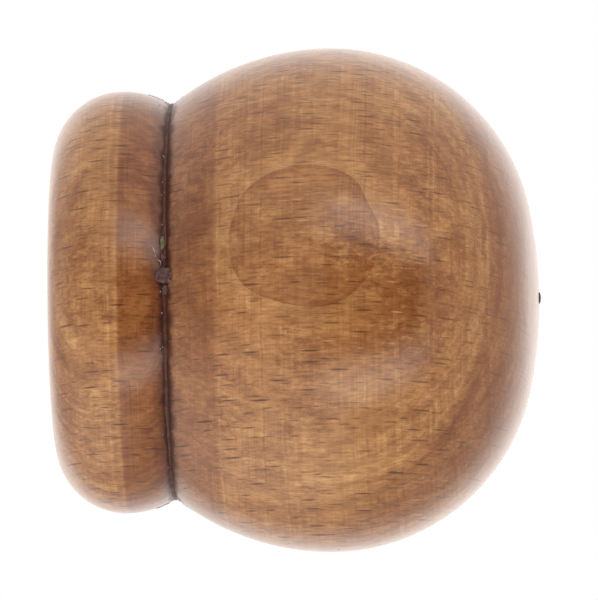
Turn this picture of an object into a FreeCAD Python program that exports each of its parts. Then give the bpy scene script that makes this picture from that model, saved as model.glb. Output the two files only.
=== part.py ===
import FreeCAD, Part
import math
import os

import Sketcher

# Turned ball finial for a 28 mm wooden curtain pole, in millimetres.
# The turning axis is X. The origin is the centre of the collar's end face, in the mouth of the pole
# socket. +X runs from there to the nose of the ball, +Z is up, and the lock screw faces +Y, the wall.

doc = FreeCAD.newDocument("ball_finial")
sheet = doc.addObject("Spreadsheet::Sheet", "dims")

# The least volume, in cubic millimetres, that a real cut takes away.
LEAST_CUT = 0.001

DIMENSIONS = {
    # turned outline
    "overall_length": 53.0,
    "collar_radius": 23.05,
    "corner_arc": 7.55,
    "shoulder_arc": 10.2,
    "groove_fillet": 0.3,
    "ball_radius": 27.5,
    "ball_centre": 30.1,
    "front_arc": 22.2,
    "pip_radius": 0.65,
    "pip_height": 0.2,
    # blind socket for the pole, with the centre pit that the boring bit leaves
    "socket_radius": 14.2,
    "socket_depth": 20.0,
    "socket_chamfer": 0.4,
    "pit_radius": 1.6,
    "pit_depth": 1.8,
    # side hole and the threaded insert pressed into it
    "side_hole_radius": 3.2,
    "insert_radius": 3.25,
    "insert_bore": 2.5,
    "insert_length": 7.0,
    "insert_start": 15.0,
    "insert_chamfer": 0.35,
    "knurl_depth": 0.25,
    "knurl_width": 0.45,
    "knurl_count": 24,
    "waist_radius": 2.95,
    "waist_width": 1.0,
    "waist_rim": 4.25,
    # lock screw: M5 x 6 with a hexagon socket and a cup point
    "screw_radius": 2.45,
    "screw_length": 6.0,
    "screw_start": 14.9,
    "screw_chamfer": 0.45,
    "thread_pitch": 0.8,
    "thread_depth": 0.4,
    "thread_width": 0.64,
    "thread_turns": 6,
    "hexagon_flats": 2.5,
    "hexagon_depth": 2.6,
    "cup_radius": 1.25,
    "cup_depth": 0.7,
}


def fill_sheet():
    for row, (name, value) in enumerate(DIMENSIONS.items(), start=1):
        sheet.set(f"A{row}", name)
        sheet.set(f"B{row}", str(value))
        sheet.setAlias(f"B{row}", name)
    doc.recompute()


def dim(name):
    """Value of one driving dimension, read back from the sheet."""
    return float(sheet.get(name))


def point(x, y):
    return FreeCAD.Vector(x, y, 0)


def new_body(label):
    body = doc.addObject("PartDesign::Body", label)
    body.Label = label
    return body


def new_sketch(body, name, plane_role):
    sketch = body.newObject("Sketcher::SketchObject", name)
    plane = next(item for item in body.Origin.OriginFeatures if item.Role == plane_role)
    sketch.AttachmentSupport = (plane, [""])
    sketch.MapMode = "FlatFace"
    return sketch


def bind(sketch, constraint, name, formula):
    """Add a driving constraint, name it and tie it to a formula on the sheet."""
    index = sketch.addConstraint(constraint)
    sketch.renameConstraint(index, name)
    sketch.setExpression(f"Constraints.{name}", formula)


def closed_outline(sketch, corners):
    """Closed polygon of straight lines through the corners; line i runs from corner i to the next."""
    count = len(corners)
    for i in range(count):
        sketch.addGeometry(Part.LineSegment(point(*corners[i]), point(*corners[(i + 1) % count])))
    for i in range(count):
        sketch.addConstraint(Sketcher.Constraint("Coincident", i, 2, (i + 1) % count, 1))


def arc(centre, radius, start, end):
    """Anticlockwise arc between two directions, in radians."""
    circle = Part.Circle(point(*centre), FreeCAD.Vector(0, 0, 1), radius)
    return Part.ArcOfCircle(circle, start, end)


def turn_about(body, sketch, name, axis, kind):
    """Full revolution of a sketch about one of its axes: kind is Revolution or Groove."""
    feature = body.newObject(f"PartDesign::{kind}", name)
    feature.Profile = sketch
    feature.ReferenceAxis = (sketch, [axis])
    feature.Angle = 360
    sketch.Visibility = False
    return feature


def check_cut(feature, volume_before):
    """A cut that removes nothing shows no error, so its volume is compared."""
    doc.recompute()
    if not feature.Shape.Volume < volume_before - LEAST_CUT:
        raise RuntimeError(f"{feature.Name} removed nothing")


# ---------------------------------------------------------------- the turning

def outline_sketch(body):
    """Half outline of the turning: flat end, bead collar, V groove, ball, nose cap and turning pip."""
    length = dim("overall_length") - dim("pip_height")
    collar = dim("collar_radius")
    corner = dim("corner_arc")
    shoulder = dim("shoulder_arc")
    fillet = dim("groove_fillet")
    ball = dim("ball_radius")
    centre = dim("ball_centre")
    front = dim("front_arc")
    pip = dim("pip_radius")

    # The fillet's centre stands off the shoulder arc and the ball arc by its own radius.
    shoulder_centre = (corner, collar - shoulder)
    gap = math.hypot(centre - corner, shoulder_centre[1])
    to_shoulder = shoulder + fillet
    to_ball = ball + fillet
    along = (gap ** 2 + to_shoulder ** 2 - to_ball ** 2) / (2 * gap)
    aside = math.sqrt(to_shoulder ** 2 - along ** 2)
    unit_x = (centre - corner) / gap
    unit_y = -shoulder_centre[1] / gap
    fillet_centre = (
        shoulder_centre[0] + along * unit_x - aside * unit_y,
        shoulder_centre[1] + along * unit_y + aside * unit_x,
    )
    towards_shoulder = math.atan2(shoulder_centre[1] - fillet_centre[1],
                                  shoulder_centre[0] - fillet_centre[0])
    towards_ball = math.atan2(-fillet_centre[1], centre - fillet_centre[0])

    # The nose cap is centred on the axis and touches the ball's front arc from outside.
    reach = length - centre
    lift = ball - front
    cap = (reach ** 2 + lift ** 2 - front ** 2) / (2 * (reach - front))
    cap_centre = (length - cap, 0)
    cap_join = math.atan2(lift, centre - cap_centre[0])
    pip_angle = math.asin(pip / cap)
    pip_foot = cap_centre[0] + cap * math.cos(pip_angle)
    nose = dim("overall_length")

    upright = math.pi / 2
    sketch = new_sketch(body, "turned_outline", "XZ_Plane")
    end_face = sketch.addGeometry(Part.LineSegment(point(0, 0), point(0, collar - corner)))
    corner_id = sketch.addGeometry(arc((corner, collar - corner), corner, upright, math.pi))
    shoulder_id = sketch.addGeometry(arc(shoulder_centre, shoulder, towards_shoulder + math.pi, upright))
    fillet_id = sketch.addGeometry(arc(fillet_centre, fillet, towards_shoulder, towards_ball))
    ball_id = sketch.addGeometry(arc((centre, 0), ball, upright, towards_ball + math.pi))
    front_id = sketch.addGeometry(arc((centre, ball - front), front, cap_join, upright))
    cap_id = sketch.addGeometry(arc(cap_centre, cap, pip_angle, cap_join))
    pip_side = sketch.addGeometry(Part.LineSegment(point(pip_foot, pip), point(nose, pip)))
    pip_face = sketch.addGeometry(Part.LineSegment(point(nose, pip), point(nose, 0)))
    axis_line = sketch.addGeometry(Part.LineSegment(point(nose, 0), point(0, 0)))

    rules = [
        ("Coincident", end_face, 1, -1, 1),
        ("Vertical", end_face),
        ("Tangent", end_face, 2, corner_id, 2),
        ("Tangent", corner_id, 1, shoulder_id, 2),
        ("Vertical", corner_id, 3, shoulder_id, 3),
        ("Tangent", shoulder_id, 1, fillet_id, 1),
        ("Tangent", fillet_id, 2, ball_id, 2),
        ("PointOnObject", ball_id, 3, -1),
        ("Tangent", ball_id, 1, front_id, 2),
        ("Vertical", ball_id, 3, front_id, 3),
        ("Tangent", front_id, 1, cap_id, 2),
        ("PointOnObject", cap_id, 3, -1),
        ("Coincident", cap_id, 1, pip_side, 1),
        ("Horizontal", pip_side),
        ("Coincident", pip_side, 2, pip_face, 1),
        ("Vertical", pip_face),
        ("Coincident", pip_face, 2, axis_line, 1),
        ("Coincident", axis_line, 2, end_face, 1),
        ("PointOnObject", axis_line, 1, -1),
    ]
    for rule in rules:
        sketch.addConstraint(Sketcher.Constraint(*rule))
    bind(sketch, Sketcher.Constraint("Radius", corner_id, corner), "corner", "dims.corner_arc")
    bind(sketch, Sketcher.Constraint("Radius", shoulder_id, shoulder), "shoulder", "dims.shoulder_arc")
    bind(sketch, Sketcher.Constraint("Radius", fillet_id, fillet), "fillet", "dims.groove_fillet")
    bind(sketch, Sketcher.Constraint("Radius", ball_id, ball), "ball", "dims.ball_radius")
    bind(sketch, Sketcher.Constraint("Radius", front_id, front), "front", "dims.front_arc")
    bind(sketch, Sketcher.Constraint("DistanceY", -1, 1, corner_id, 1, collar), "collar",
         "dims.collar_radius")
    bind(sketch, Sketcher.Constraint("DistanceX", -1, 1, ball_id, 3, centre), "centre", "dims.ball_centre")
    bind(sketch, Sketcher.Constraint("DistanceX", -1, 1, pip_face, 2, nose), "nose", "dims.overall_length")
    bind(sketch, Sketcher.Constraint("DistanceY", -1, 1, pip_side, 1, pip), "pip", "dims.pip_radius")
    bind(sketch, Sketcher.Constraint("DistanceX", pip_side, 1, pip_side, 2, nose - pip_foot), "proud",
         "dims.pip_height")
    return sketch


def socket_sketch(body):
    """Half section of the blind socket: mouth chamfer, wall, floor and centre pit."""
    radius = dim("socket_radius")
    depth = dim("socket_depth")
    chamfer = dim("socket_chamfer")
    pit = dim("pit_radius")
    sketch = new_sketch(body, "socket_section", "XZ_Plane")
    closed_outline(sketch, [
        (0, 0),
        (0, radius + chamfer),
        (chamfer, radius),
        (depth, radius),
        (depth, pit),
        (depth + dim("pit_depth"), 0),
    ])
    rules = [
        ("Coincident", 0, 1, -1, 1),
        ("Vertical", 0),
        ("Horizontal", 2),
        ("Vertical", 3),
        ("Horizontal", 5),
    ]
    for rule in rules:
        sketch.addConstraint(Sketcher.Constraint(*rule))
    bind(sketch, Sketcher.Constraint("DistanceX", -1, 1, 1, 2, chamfer), "mouth", "dims.socket_chamfer")
    bind(sketch, Sketcher.Constraint("DistanceY", -1, 1, 1, 1, radius + chamfer), "mouth_radius",
         "dims.socket_radius + dims.socket_chamfer")
    bind(sketch, Sketcher.Constraint("DistanceY", -1, 1, 1, 2, radius), "wall", "dims.socket_radius")
    bind(sketch, Sketcher.Constraint("DistanceX", -1, 1, 2, 2, depth), "depth", "dims.socket_depth")
    bind(sketch, Sketcher.Constraint("DistanceY", -1, 1, 3, 2, pit), "pit", "dims.pit_radius")
    bind(sketch, Sketcher.Constraint("DistanceX", -1, 1, 4, 2, depth + dim("pit_depth")), "pit_tip",
         "dims.socket_depth + dims.pit_depth")
    return sketch


def make_finial():
    body = new_body("finial_body")
    turning = turn_about(body, outline_sketch(body), "turning", "H_Axis", "Revolution")
    doc.recompute()

    socket = turn_about(body, socket_sketch(body), "pole_socket", "H_Axis", "Groove")
    check_cut(socket, turning.Shape.Volume)

    # The side hole is drilled at the collar's crown, from the pole socket out to the wall side.
    crown = dim("corner_arc")
    hole_sketch = new_sketch(body, "side_hole_circle", "XZ_Plane")
    circle = Part.Circle(point(crown, 0), FreeCAD.Vector(0, 0, 1), dim("side_hole_radius"))
    hole_sketch.addGeometry(circle)
    hole_sketch.addConstraint(Sketcher.Constraint("PointOnObject", 0, 3, -1))
    bind(hole_sketch, Sketcher.Constraint("DistanceX", -1, 1, 0, 3, crown), "crown", "dims.corner_arc")
    bind(hole_sketch, Sketcher.Constraint("Radius", 0, dim("side_hole_radius")), "bore",
         "dims.side_hole_radius")
    side_hole = body.newObject("PartDesign::Pocket", "side_hole")
    side_hole.Profile = hole_sketch
    side_hole.Type = "ThroughAll"
    hole_sketch.Visibility = False
    check_cut(side_hole, socket.Shape.Volume)
    return body


# ---------------------------------------------------------------- the lock screw and its insert

def stand_on_side_hole(body, start):
    """Turn the body's own +Z to the model's +Y and start it at a distance from the turning axis."""
    body.Placement.Rotation = FreeCAD.Rotation(FreeCAD.Vector(1, 0, 0), -90)
    body.setExpression("Placement.Base.x", "dims.corner_arc")
    body.setExpression("Placement.Base.y", f"dims.{start}")


def rounded_sleeve(body, radius, bore, length, chamfer, names):
    """Half section of a sleeve or pin with both outer edges chamfered. A bore of None makes it solid."""
    inner = 0 if bore is None else dim(bore)
    outer = dim(radius)
    height = dim(length)
    cut = dim(chamfer)
    sketch = new_sketch(body, names[0], "XZ_Plane")
    closed_outline(sketch, [
        (inner, 0),
        (outer - cut, 0),
        (outer, cut),
        (outer, height - cut),
        (outer - cut, height),
        (inner, height),
    ])
    rules = [
        ("Horizontal", 0),
        ("Vertical", 2),
        ("Horizontal", 4),
        ("Vertical", 5),
        ("PointOnObject", 0, 1, -1),
    ]
    for rule in rules:
        sketch.addConstraint(Sketcher.Constraint(*rule))
    if bore is None:
        sketch.addConstraint(Sketcher.Constraint("PointOnObject", 5, 1, -2))
    else:
        bind(sketch, Sketcher.Constraint("DistanceX", -1, 1, 0, 1, inner), "inner", f"dims.{bore}")
    bind(sketch, Sketcher.Constraint("DistanceX", -1, 1, 2, 1, outer), "outer", f"dims.{radius}")
    bind(sketch, Sketcher.Constraint("DistanceY", -1, 1, 4, 2, height), "height", f"dims.{length}")
    bind(sketch, Sketcher.Constraint("DistanceX", 0, 2, 2, 1, cut), "low_cut_x", f"dims.{chamfer}")
    bind(sketch, Sketcher.Constraint("DistanceY", 0, 2, 2, 1, cut), "low_cut_y", f"dims.{chamfer}")
    bind(sketch, Sketcher.Constraint("DistanceX", 4, 1, 2, 2, cut), "high_cut_x", f"dims.{chamfer}")
    bind(sketch, Sketcher.Constraint("DistanceY", 2, 2, 4, 1, cut), "high_cut_y", f"dims.{chamfer}")
    blank = turn_about(body, sketch, names[1], "V_Axis", "Revolution")
    doc.recompute()
    return blank


def make_insert():
    body = new_body("screw_insert")
    blank = rounded_sleeve(body, "insert_radius", "insert_bore", "insert_length", "insert_chamfer",
                           ("sleeve_section", "sleeve"))

    # A waist round the middle keeps the insert from pulling out.
    middle = dim("insert_length") / 2
    half = dim("waist_width") / 2
    waist = dim("waist_radius")
    rim = dim("waist_rim")
    waist_sketch = new_sketch(body, "waist_section", "XZ_Plane")
    closed_outline(waist_sketch, [
        (waist, middle - half),
        (rim, middle - half),
        (rim, middle + half),
        (waist, middle + half),
    ])
    for rule in (("Horizontal", 0), ("Vertical", 1), ("Horizontal", 2), ("Vertical", 3)):
        waist_sketch.addConstraint(Sketcher.Constraint(*rule))
    bind(waist_sketch, Sketcher.Constraint("DistanceX", -1, 1, 0, 1, waist), "waist", "dims.waist_radius")
    bind(waist_sketch, Sketcher.Constraint("DistanceX", -1, 1, 0, 2, rim), "rim", "dims.waist_rim")
    bind(waist_sketch, Sketcher.Constraint("DistanceY", -1, 1, 0, 1, middle - half), "low",
         "dims.insert_length / 2 - dims.waist_width / 2")
    bind(waist_sketch, Sketcher.Constraint("DistanceY", 0, 2, 1, 2, 2 * half), "wide", "dims.waist_width")
    waist_cut = turn_about(body, waist_sketch, "waist", "V_Axis", "Groove")
    check_cut(waist_cut, blank.Shape.Volume)

    # Straight knurling: one V notch from end to end, repeated round the sleeve. The V is drawn out to
    # twice its depth, where it is twice as wide as at the sleeve's surface.
    outer = dim("insert_radius")
    depth = dim("knurl_depth")
    width = dim("knurl_width")
    notch_sketch = new_sketch(body, "knurl_notch", "XY_Plane")
    closed_outline(notch_sketch, [
        (outer - depth, 0),
        (outer + depth, -width),
        (outer + depth, width),
    ])
    notch_sketch.addConstraint(Sketcher.Constraint("PointOnObject", 0, 1, -1))
    notch_sketch.addConstraint(Sketcher.Constraint("Symmetric", 1, 1, 1, 2, -1))
    bind(notch_sketch, Sketcher.Constraint("DistanceX", -1, 1, 0, 1, outer - depth), "root",
         "dims.insert_radius - dims.knurl_depth")
    bind(notch_sketch, Sketcher.Constraint("DistanceX", -1, 1, 1, 1, outer + depth), "open",
         "dims.insert_radius + dims.knurl_depth")
    bind(notch_sketch, Sketcher.Constraint("DistanceY", 1, 1, 1, 2, 2 * width), "mouth",
         "dims.knurl_width * 2")
    notch = body.newObject("PartDesign::Pocket", "knurl_cut")
    notch.Profile = notch_sketch
    notch.Type = "ThroughAll"
    notch.Reversed = True
    notch_sketch.Visibility = False
    check_cut(notch, waist_cut.Shape.Volume)

    knurl = body.newObject("PartDesign::PolarPattern", "knurling")
    knurl.Originals = [notch]
    knurl.Axis = (notch_sketch, ["N_Axis"])
    knurl.Angle = 360
    knurl.setExpression("Occurrences", "dims.knurl_count")
    body.Tip = knurl
    check_cut(knurl, notch.Shape.Volume)
    stand_on_side_hole(body, "insert_start")
    return body


def make_screw():
    body = new_body("lock_screw")
    blank = rounded_sleeve(body, "screw_radius", None, "screw_length", "screw_chamfer",
                           ("screw_section", "screw_blank"))

    # Cup point at the inner end, a shallow cone.
    cup = dim("cup_radius")
    cup_depth = dim("cup_depth")
    cup_sketch = new_sketch(body, "cup_section", "XZ_Plane")
    closed_outline(cup_sketch, [(0, 0), (cup, 0), (0, cup_depth)])
    cup_sketch.addConstraint(Sketcher.Constraint("Coincident", 0, 1, -1, 1))
    cup_sketch.addConstraint(Sketcher.Constraint("Horizontal", 0))
    cup_sketch.addConstraint(Sketcher.Constraint("Vertical", 2))
    bind(cup_sketch, Sketcher.Constraint("DistanceX", -1, 1, 0, 2, cup), "cup", "dims.cup_radius")
    bind(cup_sketch, Sketcher.Constraint("DistanceY", -1, 1, 1, 2, cup_depth), "deep", "dims.cup_depth")
    cup_cut = turn_about(body, cup_sketch, "cup_point", "V_Axis", "Groove")
    check_cut(cup_cut, blank.Shape.Volume)

    # Hexagon socket, pocketed down from the outer end.
    length = dim("screw_length")
    depth = dim("hexagon_depth")
    corner = dim("hexagon_flats") / math.sqrt(3)
    sides = 6
    hexagon_sketch = new_sketch(body, "hexagon", "XY_Plane")
    hexagon_sketch.AttachmentOffset = FreeCAD.Placement(FreeCAD.Vector(0, 0, length - depth),
                                                        FreeCAD.Rotation())
    hexagon_sketch.setExpression("AttachmentOffset.Base.z", "dims.screw_length - dims.hexagon_depth")
    turn = 2 * math.pi / sides
    closed_outline(hexagon_sketch, [(corner * math.cos(i * turn), corner * math.sin(i * turn))
                                    for i in range(sides)])
    round_corners = hexagon_sketch.addGeometry(
        Part.Circle(point(0, 0), FreeCAD.Vector(0, 0, 1), corner), True)
    hexagon_sketch.addConstraint(Sketcher.Constraint("Coincident", round_corners, 3, -1, 1))
    for side in range(sides):
        hexagon_sketch.addConstraint(Sketcher.Constraint("PointOnObject", side, 1, round_corners))
    for side in range(1, sides):
        hexagon_sketch.addConstraint(Sketcher.Constraint("Equal", 0, side))
    hexagon_sketch.addConstraint(Sketcher.Constraint("PointOnObject", 0, 1, -1))
    bind(hexagon_sketch, Sketcher.Constraint("Radius", round_corners, corner), "corner",
         "dims.hexagon_flats / sqrt(3)")
    hexagon = body.newObject("PartDesign::Pocket", "hexagon_socket")
    hexagon.Profile = hexagon_sketch
    hexagon.Type = "ThroughAll"
    hexagon.Reversed = True
    hexagon_sketch.Visibility = False
    check_cut(hexagon, cup_cut.Shape.Volume)

    # One V ring for each turn of the thread, repeated along the screw and drawn out to twice its depth
    # in the same way.
    outer = dim("screw_radius")
    pitch = dim("thread_pitch")
    first = length / 2 - pitch * (dim("thread_turns") - 1) / 2
    flank = dim("thread_depth")
    width = dim("thread_width")
    ring_sketch = new_sketch(body, "thread_ring", "XZ_Plane")
    closed_outline(ring_sketch, [
        (outer - flank, first),
        (outer + flank, first - width),
        (outer + flank, first + width),
    ])
    ring_sketch.addConstraint(Sketcher.Constraint("Vertical", 1))
    bind(ring_sketch, Sketcher.Constraint("DistanceX", -1, 1, 0, 1, outer - flank), "root",
         "dims.screw_radius - dims.thread_depth")
    bind(ring_sketch, Sketcher.Constraint("DistanceX", -1, 1, 1, 1, outer + flank), "open",
         "dims.screw_radius + dims.thread_depth")
    bind(ring_sketch, Sketcher.Constraint("DistanceY", -1, 1, 0, 1, first), "first",
         "dims.screw_length / 2 - dims.thread_pitch * (dims.thread_turns - 1) / 2")
    bind(ring_sketch, Sketcher.Constraint("DistanceY", 1, 1, 0, 1, width), "lower", "dims.thread_width")
    bind(ring_sketch, Sketcher.Constraint("DistanceY", 0, 1, 1, 2, width), "upper", "dims.thread_width")
    ring = turn_about(body, ring_sketch, "thread_cut", "V_Axis", "Groove")
    check_cut(ring, hexagon.Shape.Volume)

    thread = body.newObject("PartDesign::LinearPattern", "thread")
    thread.Originals = [ring]
    thread.Direction = (ring_sketch, ["V_Axis"])
    thread.setExpression("Length", "dims.thread_pitch * (dims.thread_turns - 1)")
    thread.setExpression("Occurrences", "dims.thread_turns")
    body.Tip = thread
    check_cut(thread, ring.Shape.Volume)
    stand_on_side_hole(body, "screw_start")
    return body


def check_document(pieces):
    for item in doc.Objects:
        if "Invalid" in item.State or "Error" in item.State:
            raise RuntimeError(f"{item.Label} failed to recompute: {item.State}")
        if item.TypeId == "Sketcher::SketchObject" and item.solve() != 0:
            raise RuntimeError(f"{item.Label} has conflicting constraints")
        if item.TypeId == "Sketcher::SketchObject" and not item.FullyConstrained:
            raise RuntimeError(f"{item.Label} isn't fully constrained")
    for piece in pieces:
        shape = piece.Shape
        if shape.isNull() or not shape.isValid() or len(shape.Solids) != 1:
            raise RuntimeError(f"{piece.Label} isn't one valid solid")


def main():
    fill_sheet()
    pieces = [make_finial(), make_insert(), make_screw()]
    doc.recompute()
    check_document(pieces)
    os.makedirs("parts", exist_ok=True)
    for piece in pieces:
        piece.Shape.exportStep(os.path.join("parts", piece.Label + ".step"))
        box = piece.Shape.BoundBox
        print(f"{piece.Label}: {piece.Shape.Volume:.1f} mm3, "
              f"X {box.XMin:.2f} to {box.XMax:.2f}, Y {box.YMin:.2f} to {box.YMax:.2f}, "
              f"Z {box.ZMin:.2f} to {box.ZMax:.2f}")


main()
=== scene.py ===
import math
import random

import bmesh
import bpy
from mathutils import Matrix, Quaternion, Vector
from mathutils import noise as mathNoise


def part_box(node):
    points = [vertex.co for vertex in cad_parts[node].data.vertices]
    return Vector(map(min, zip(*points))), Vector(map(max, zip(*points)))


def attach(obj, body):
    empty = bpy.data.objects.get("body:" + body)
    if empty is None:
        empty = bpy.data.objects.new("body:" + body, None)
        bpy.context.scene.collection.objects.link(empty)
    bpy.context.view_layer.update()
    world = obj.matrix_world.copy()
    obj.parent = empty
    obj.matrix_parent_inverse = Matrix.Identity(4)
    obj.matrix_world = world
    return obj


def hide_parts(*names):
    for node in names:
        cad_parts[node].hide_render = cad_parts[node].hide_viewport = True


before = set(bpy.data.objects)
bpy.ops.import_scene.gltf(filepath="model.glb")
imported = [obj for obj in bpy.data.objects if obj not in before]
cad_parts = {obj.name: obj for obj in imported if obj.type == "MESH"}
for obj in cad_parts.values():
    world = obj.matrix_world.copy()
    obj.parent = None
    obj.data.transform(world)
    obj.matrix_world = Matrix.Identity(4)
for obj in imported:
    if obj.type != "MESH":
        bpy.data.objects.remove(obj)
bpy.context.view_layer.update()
mm = 0.001
alongPole = (1.0, 0.0, 0.0)                  # the turning axis
towardsWall = (0.0, 1.0, 0.0)
print("frame loaded")


# small helpers for node trees

def newMaterial(name):
    material = bpy.data.materials.new(name)
    material.use_nodes = True
    material.node_tree.nodes.clear()
    return material, material.node_tree


def addNode(tree, kind, inputs=None, **settings):
    node = tree.nodes.new(kind)
    for key, value in settings.items():
        setattr(node, key, value)
    for key, value in (inputs or {}).items():
        socket = node.inputs[key]
        if isinstance(value, bpy.types.NodeSocket):
            tree.links.new(value, socket)
        else:
            socket.default_value = value
    return node


def calc(tree, operation, a, b=0.0, c=0.0):
    return addNode(tree, "ShaderNodeMath", {0: a, 1: b, 2: c}, operation=operation).outputs[0]


def product(tree, first, *others):
    for other in others:
        first = calc(tree, "MULTIPLY", first, other)
    return first


def vectorCalc(tree, operation, a, b=(0.0, 0.0, 0.0)):
    node = addNode(tree, "ShaderNodeVectorMath", {0: a, 1: b}, operation=operation)
    return node.outputs["Value" if operation in ("DOT_PRODUCT", "LENGTH", "DISTANCE") else "Vector"]


def dot(tree, vector, direction):
    return vectorCalc(tree, "DOT_PRODUCT", vector, direction)


def shift(tree, point, offset):
    return vectorCalc(tree, "ADD", point, offset)


def toMillimetres(tree, place):
    return addNode(tree, "ShaderNodeVectorMath", {0: place, "Scale": 1 / mm}, operation="SCALE").outputs[0]


def joinVector(tree, x, y, z):
    return addNode(tree, "ShaderNodeCombineXYZ", {0: x, 1: y, 2: z}).outputs[0]


def grey(tree, value):
    return joinVector(tree, value, value, value)


def fade(tree, value, low, high, toLow=0.0, toHigh=1.0):
    inputs = {"Value": value, "From Min": low, "From Max": high, "To Min": toLow, "To Max": toHigh}
    return addNode(tree, "ShaderNodeMapRange", inputs, interpolation_type="SMOOTHSTEP").outputs["Result"]


def tint(tree, amount, under, over, blend="MIX"):
    # mix node sockets by number: 0 the factor, 6 and 7 the colours
    return addNode(tree, "ShaderNodeMix", {0: amount, 6: under, 7: over}, data_type="RGBA",
                   blend_type=blend).outputs[2]


def noise(tree, vector, scale, detail=2.0, roughness=0.5):
    inputs = {"Vector": vector, "Scale": scale, "Detail": detail, "Roughness": roughness}
    return addNode(tree, "ShaderNodeTexNoise", inputs).outputs["Fac"]


def lineNoise(tree, place, scale, detail=3.0, roughness=0.5):
    # noise that runs along one number, for layers and turned lines
    inputs = {"W": place, "Scale": scale, "Detail": detail, "Roughness": roughness}
    return addNode(tree, "ShaderNodeTexNoise", inputs, noise_dimensions="1D").outputs["Fac"]


def spot(tree, point, centre, radius, softness=1.0):
    # a soft round patch of the surface, 1 in the middle and 0 outside
    return fade(tree, vectorCalc(tree, "DISTANCE", point, centre), radius, radius * (1 - softness))


def bumps(tree, height, strength, depth):
    inputs = {"Strength": strength, "Distance": depth, "Height": height}
    return addNode(tree, "ShaderNodeBump", inputs).outputs[0]


def setSurface(tree, inputs):
    shader = addNode(tree, "ShaderNodeBsdfPrincipled", inputs)
    addNode(tree, "ShaderNodeOutputMaterial", {"Surface": shader.outputs[0]})


def colour(red, green, blue):
    return (red, green, blue, 1.0)


# the wood: one beech blank, its rings, rays and pores laid out round the pith of the tree

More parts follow.
